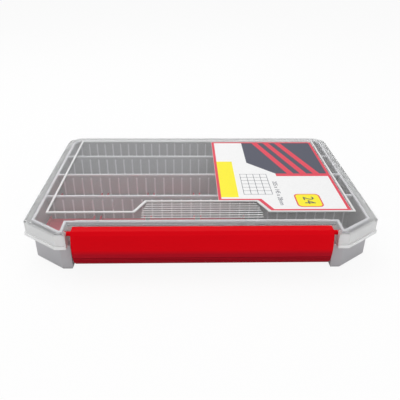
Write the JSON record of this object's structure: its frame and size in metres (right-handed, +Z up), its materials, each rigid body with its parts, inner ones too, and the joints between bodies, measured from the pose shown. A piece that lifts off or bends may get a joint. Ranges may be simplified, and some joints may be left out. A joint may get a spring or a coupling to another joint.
{
  "type": "fishing tackle box",
  "caption": "Flat ribbed tackle tray with a clear hinged lid, a full-width front latch bar and loose snap-in dividers.",
  "frame": {"origin": "centre of the overall length and depth, at the underside of the tray", "axes": "+X along the box to the right, +Y to the hinges at the back, +Z up"},
  "size_m": [0.205, 0.145, 0.028],
  "materials": {
    "tray_plastic": "fine satin moulded grey polypropylene",
    "clear_plastic": "clear polished",
    "latch_plastic": "semi-gloss red",
    "label_paper": "printed paper",
    "pin_steel": "drawn",
    "divider_plastic": "semi-gloss red"
  },
  "bodies": {
    "tray": {"tray": "tray_plastic", "hinge_pin_left": "pin_steel", "hinge_pin_right": "pin_steel"},
    "lid": {"lid": "clear_plastic", "label": "label_paper"},
    "latch": {"latch": "latch_plastic"},
    "divider_01": {"divider_01": "divider_plastic"},
    "divider_02": {"divider_02": "divider_plastic"},
    "divider_03": {"divider_03": "divider_plastic"},
    "divider_04": {"divider_04": "divider_plastic"},
    "divider_05": {"divider_05": "divider_plastic"},
    "divider_06": {"divider_06": "divider_plastic"},
    "divider_07": {"divider_07": "divider_plastic"},
    "divider_08": {"divider_08": "divider_plastic"},
    "divider_09": {"divider_09": "divider_plastic"},
    "divider_10": {"divider_10": "divider_plastic"},
    "divider_11": {"divider_11": "divider_plastic"},
    "divider_12": {"divider_12": "divider_plastic"},
    "divider_13": {"divider_13": "divider_plastic"},
    "divider_14": {"divider_14": "divider_plastic"},
    "divider_15": {"divider_15": "divider_plastic"},
    "divider_16": {"divider_16": "divider_plastic"},
    "divider_17": {"divider_17": "divider_plastic"},
    "divider_18": {"divider_18": "divider_plastic"},
    "divider_19": {"divider_19": "divider_plastic"},
    "divider_20": {"divider_20": "divider_plastic"}
  },
  "joints": [
    {"name": "lid_hinge", "type": "hinge", "parent": "tray", "child": "lid", "pos_m": [0, 0.0706, 0.015], "axis": [-1, 0, 0], "range_deg": [0, 110]},
    {"name": "latch_hinge", "type": "hinge", "parent": "lid", "child": "latch", "pos_m": [0, -0.066, 0.0246], "axis": [-1, 0, 0], "range_deg": [0, 100]},
    {"name": "lift_divider_01", "type": "slide", "parent": "tray", "child": "divider_01", "axis": [0, 0, 1], "range_m": [0, 0.005]},
    {"name": "lift_divider_02", "type": "slide", "parent": "tray", "child": "divider_02", "axis": [0, 0, 1], "range_m": [0, 0.005]},
    {"name": "lift_divider_03", "type": "slide", "parent": "tray", "child": "divider_03", "axis": [0, 0, 1], "range_m": [0, 0.005]},
    {"name": "lift_divider_04", "type": "slide", "parent": "tray", "child": "divider_04", "axis": [0, 0, 1], "range_m": [0, 0.005]},
    {"name": "lift_divider_05", "type": "slide", "parent": "divider_01", "child": "divider_05", "axis": [0, 0, 1], "range_m": [0, 0.007]},
    {"name": "lift_divider_06", "type": "slide", "parent": "divider_02", "child": "divider_06", "axis": [0, 0, 1], "range_m": [0, 0.007]},
    {"name": "lift_divider_07", "type": "slide", "parent": "divider_03", "child": "divider_07", "axis": [0, 0, 1], "range_m": [0, 0.007]},
    {"name": "lift_divider_08", "type": "slide", "parent": "divider_04", "child": "divider_08", "axis": [0, 0, 1], "range_m": [0, 0.007]},
    {"name": "lift_divider_09", "type": "slide", "parent": "tray", "child": "divider_09", "axis": [0, 0, 1], "range_m": [0, 0.005]},
    {"name": "lift_divider_10", "type": "slide", "parent": "tray", "child": "divider_10", "axis": [0, 0, 1], "range_m": [0, 0.005]},
    {"name": "lift_divider_11", "type": "slide", "parent": "tray", "child": "divider_11", "axis": [0, 0, 1], "range_m": [0, 0.005]},
    {"name": "lift_divider_12", "type": "slide", "parent": "tray", "child": "divider_12", "axis": [0, 0, 1], "range_m": [0, 0.005]},
    {"name": "lift_divider_13", "type": "slide", "parent": "tray", "child": "divider_13", "axis": [0, 0, 1], "range_m": [0, 0.005]},
    {"name": "lift_divider_14", "type": "slide", "parent": "tray", "child": "divider_14", "axis": [0, 0, 1], "range_m": [0, 0.005]},
    {"name": "lift_divider_15", "type": "slide", "parent": "divider_09", "child": "divider_15", "axis": [0, 0, 1], "range_m": [0, 0.007]},
    {"name": "lift_divider_16", "type": "slide", "parent": "divider_10", "child": "divider_16", "axis": [0, 0, 1], "range_m": [0, 0.007]},
    {"name": "lift_divider_17", "type": "slide", "parent": "divider_11", "child": "divider_17", "axis": [0, 0, 1], "range_m": [0, 0.007]},
    {"name": "lift_divider_18", "type": "slide", "parent": "divider_12", "child": "divider_18", "axis": [0, 0, 1], "range_m": [0, 0.007]},
    {"name": "lift_divider_19", "type": "slide", "parent": "divider_13", "child": "divider_19", "axis": [0, 0, 1], "range_m": [0, 0.007]},
    {"name": "lift_divider_20", "type": "slide", "parent": "divider_14", "child": "divider_20", "axis": [0, 0, 1], "range_m": [0, 0.007]}
  ]
}
